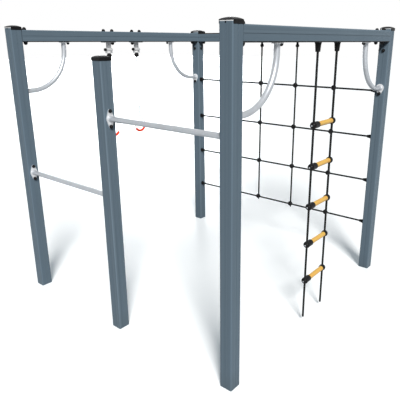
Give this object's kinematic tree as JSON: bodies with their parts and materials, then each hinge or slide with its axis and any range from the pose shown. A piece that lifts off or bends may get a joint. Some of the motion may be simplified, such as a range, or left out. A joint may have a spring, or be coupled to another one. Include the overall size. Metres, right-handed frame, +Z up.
{
  "type": "monkey bars",
  "caption": "Free-standing square playground climbing frame with posts, top beams, turning bars, hand hoops, swinging rings, climbing net and hanging rope ladder.",
  "frame": {"origin": "on the ground, in the middle of the square of corner posts", "axes": "+Z up, +Y towards the net, +X towards the rope ladder, the rings hang on the -X side"},
  "size_m": [2.456, 2.456, 2.433],
  "materials": {
    "slate_paint": "satin",
    "black_plastic": "matte",
    "black_steel": "satin",
    "aluminium": "satin",
    "zinc_steel": "satin",
    "stainless": "brushed",
    "black_rope": "matte",
    "yellow_plastic": "satin",
    "red_rubber": "satin"
  },
  "bodies": {
    "frame": {"post_front_left": "slate_paint", "post_middle": "slate_paint", "post_front_right": "slate_paint", "post_back_right": "slate_paint", "post_back_left": "slate_paint", "post_caps": "black_plastic", "cap_screws": "black_steel", "foot_plugs": "black_plastic", "beam_left": "slate_paint", "beam_right": "slate_paint", "beam_back": "slate_paint", "cover_strips": "black_plastic", "beam_end_blocks": "aluminium", "beam_bolts": "zinc_steel", "beam_bolt_caps": "black_plastic", "flange_bolts": "zinc_steel", "flange_bolt_caps": "black_plastic", "bar_low": "stainless", "bar_high": "stainless", "hoop_front_left": "stainless", "hoop_back_left": "stainless", "hoop_front_right": "stainless", "hoop_back_right": "stainless", "ring_hanger_1": "stainless", "ring_pivot_1": "stainless", "ring_hanger_2": "stainless", "ring_pivot_2": "stainless", "net_across_1": "black_rope", "net_across_2": "black_rope", "net_across_3": "black_rope", "net_across_4": "black_rope", "net_down_1": "black_rope", "net_down_2": "black_rope", "net_down_3": "black_rope", "net_down_4": "black_rope", "net_clamps": "black_plastic", "net_side_fittings": "black_plastic", "net_top_fittings": "black_plastic", "ladder_sockets": "black_plastic"},
    "ring_1_swing": {"ring_stirrup_1": "stainless", "ring_swivel_1": "black_plastic"},
    "ring_1_spin": {"ring_eye_1": "stainless", "ring_chain_1": "stainless"},
    "ring_1_rock": {"ring_rod_1": "stainless", "ring_grip_1": "red_rubber"},
    "ring_2_swing": {"ring_stirrup_2": "stainless", "ring_swivel_2": "black_plastic"},
    "ring_2_spin": {"ring_eye_2": "stainless", "ring_chain_2": "stainless"},
    "ring_2_rock": {"ring_rod_2": "stainless", "ring_grip_2": "red_rubber"},
    "ladder": {"ladder_rope_front": "black_rope", "ladder_rope_back": "black_rope", "ladder_rung_1": "yellow_plastic", "ladder_rung_2": "yellow_plastic", "ladder_rung_3": "yellow_plastic", "ladder_rung_4": "yellow_plastic", "ladder_rung_5": "yellow_plastic", "ladder_clamps": "black_plastic", "ladder_screws": "zinc_steel"}
  },
  "joints": [
    {"name": "ring_1_swing", "type": "hinge", "parent": "frame", "child": "ring_1_swing", "pos_m": [-1.175, -0.183, 2.222], "axis": [0, 1, 0], "range_deg": [-65, 65]},
    {"name": "ring_1_spin", "type": "hinge", "parent": "ring_1_swing", "child": "ring_1_spin", "pos_m": [-1.175, -0.183, 2.118], "axis": [0, 0, 1], "continuous": true},
    {"name": "ring_1_rock", "type": "hinge", "parent": "ring_1_spin", "child": "ring_1_rock", "pos_m": [-1.175, -0.183, 1.50131], "axis": [1, 0, 0], "range_deg": [-45, 45]},
    {"name": "ring_2_swing", "type": "hinge", "parent": "frame", "child": "ring_2_swing", "pos_m": [-1.175, 0.183, 2.222], "axis": [0, 1, 0], "range_deg": [-65, 65]},
    {"name": "ring_2_spin", "type": "hinge", "parent": "ring_2_swing", "child": "ring_2_spin", "pos_m": [-1.175, 0.183, 2.118], "axis": [0, 0, 1], "continuous": true},
    {"name": "ring_2_rock", "type": "hinge", "parent": "ring_2_spin", "child": "ring_2_rock", "pos_m": [-1.175, 0.183, 1.50131], "axis": [1, 0, 0], "range_deg": [-45, 45]},
    {"name": "ladder_swing", "type": "hinge", "parent": "frame", "child": "ladder", "pos_m": [1.175, 0, 2.237], "axis": [0, 1, 0], "range_deg": [-30, 30]}
  ]
}
